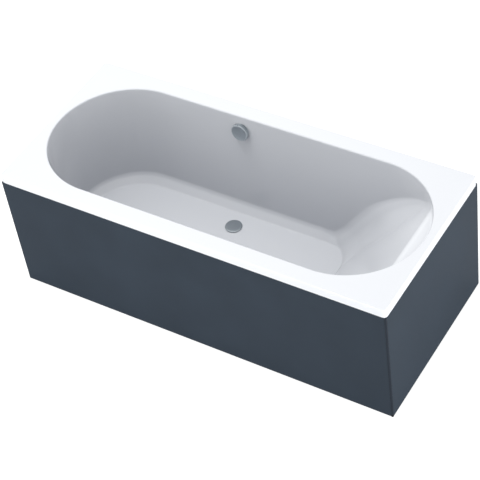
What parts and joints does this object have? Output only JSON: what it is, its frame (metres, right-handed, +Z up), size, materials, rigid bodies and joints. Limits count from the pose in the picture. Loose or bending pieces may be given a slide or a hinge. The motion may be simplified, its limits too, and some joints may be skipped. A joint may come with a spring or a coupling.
{
  "type": "bathtub",
  "caption": "Rectangular white acrylic bathtub with a sloping backrest, two dark panels, a turning overflow knob that lifts the drain plug, and a levelling frame.",
  "frame": {"origin": "on the floor, under the middle of the bath", "axes": "+X along the bath towards the backrest end, +Y towards the wall behind, +Z up"},
  "size_m": [1.7, 0.75, 0.595],
  "materials": {
    "white_acrylic": "gloss",
    "chipboard": "raw, sealed edges",
    "batten_wood": "planed",
    "galvanised_steel": "galvanised",
    "spring_steel": "satin",
    "zinc_steel": "zinc plated",
    "foot_plastic": "matt",
    "anthracite_panel": "satin lacquer on board",
    "dark_aluminium": "dark anodised",
    "magnet": "dark",
    "chrome": "polished",
    "black_rubber": "matt",
    "white_plastic": "moulded",
    "grey_plastic": "moulded",
    "pin_steel": "drawn",
    "cable_sheath": "satin"
  },
  "bodies": {
    "bath": {"tub_shell": "white_acrylic", "base_board": "chipboard", "rim_batten_front": "batten_wood", "rim_batten_back": "batten_wood", "corner_blocks": "batten_wood", "front_hook_rail": "batten_wood", "end_hook_rail": "batten_wood", "front_cleat": "batten_wood", "end_cleat": "batten_wood", "leg_rail_left": "galvanised_steel", "leg_rail_right": "galvanised_steel", "centre_foot_plate": "galvanised_steel", "wall_anchors_back": "galvanised_steel", "wall_anchors_left": "galvanised_steel", "strike_plates": "galvanised_steel", "panel_clips_front": "spring_steel", "panel_clips_end": "spring_steel", "foot_lock_nuts": "zinc_steel", "frame_screws": "zinc_steel", "clip_screws": "zinc_steel", "corner_foot": "foot_plastic", "front_panel": "anthracite_panel", "end_panel": "anthracite_panel", "corner_profile": "dark_aluminium", "panel_magnets": "magnet", "waste_flange": "chrome", "overflow_face": "chrome", "waste_seal_top": "black_rubber", "waste_seal_under": "black_rubber", "overflow_seal": "black_rubber", "waste_body": "white_plastic", "overflow_housing": "white_plastic", "pipe_union_top": "white_plastic", "pipe_union_bottom": "white_plastic", "trap_body": "white_plastic", "cleaning_plug": "white_plastic", "trap_nut": "white_plastic", "outlet_nut": "white_plastic", "overflow_pipe": "grey_plastic", "lever_pin": "pin_steel", "cable_ferrules": "pin_steel", "pull_cable": "cable_sheath"},
    "knob": {"overflow_knob": "chrome", "knob_shaft": "pin_steel", "cable_cam": "grey_plastic"},
    "plug": {"plug_cap": "chrome", "plug_seal": "black_rubber", "plug_stem": "pin_steel"},
    "lever": {"lift_lever": "grey_plastic"},
    "outlet": {"outlet_elbow": "white_plastic"},
    "foot_front_left": {"foot_rod_front_left": "zinc_steel", "foot_pad_front_left": "foot_plastic"},
    "foot_back_left": {"foot_rod_back_left": "zinc_steel", "foot_pad_back_left": "foot_plastic"},
    "foot_front_right": {"foot_rod_front_right": "zinc_steel", "foot_pad_front_right": "foot_plastic"},
    "foot_back_right": {"foot_rod_back_right": "zinc_steel", "foot_pad_back_right": "foot_plastic"},
    "foot_centre": {"foot_rod_centre": "zinc_steel", "foot_pad_centre": "foot_plastic"}
  },
  "joints": [
    {"name": "knob_turn", "type": "hinge", "parent": "bath", "child": "knob", "pos_m": [-0.145, 0.29827, 0.527], "axis": [0, -0.9936, 0.113], "range_deg": [0, 100]},
    {"name": "plug_lift", "type": "slide", "parent": "bath", "child": "plug", "axis": [0, 0, 1], "range_m": [0, 0.012]},
    {"name": "lever_turn", "type": "hinge", "parent": "bath", "child": "lever", "pos_m": [-0.121, 0.144, 0.0888], "axis": [0, 1, 0], "range_deg": [0, 30]},
    {"name": "outlet_swivel", "type": "hinge", "parent": "bath", "child": "outlet", "pos_m": [-0.2073, 0.144, 0.032], "axis": [1, 0, 0], "range_deg": [-5, 40]},
    {"name": "foot_front_left_height", "type": "slide", "parent": "bath", "child": "foot_front_left", "axis": [0, 0, -1], "range_m": [0, 0.03]},
    {"name": "foot_back_left_height", "type": "slide", "parent": "bath", "child": "foot_back_left", "axis": [0, 0, -1], "range_m": [0, 0.03]},
    {"name": "foot_front_right_height", "type": "slide", "parent": "bath", "child": "foot_front_right", "axis": [0, 0, -1], "range_m": [0, 0.03]},
    {"name": "foot_back_right_height", "type": "slide", "parent": "bath", "child": "foot_back_right", "axis": [0, 0, -1], "range_m": [0, 0.03]},
    {"name": "foot_centre_height", "type": "slide", "parent": "bath", "child": "foot_centre", "axis": [0, 0, -1], "range_m": [0, 0.03]}
  ],
  "couplings": [
    {"joint": "plug_lift", "follows": "knob_turn", "m_per_rad": 0.006875},
    {"joint": "lever_turn", "follows": "knob_turn", "ratio": 0.3}
  ]
}
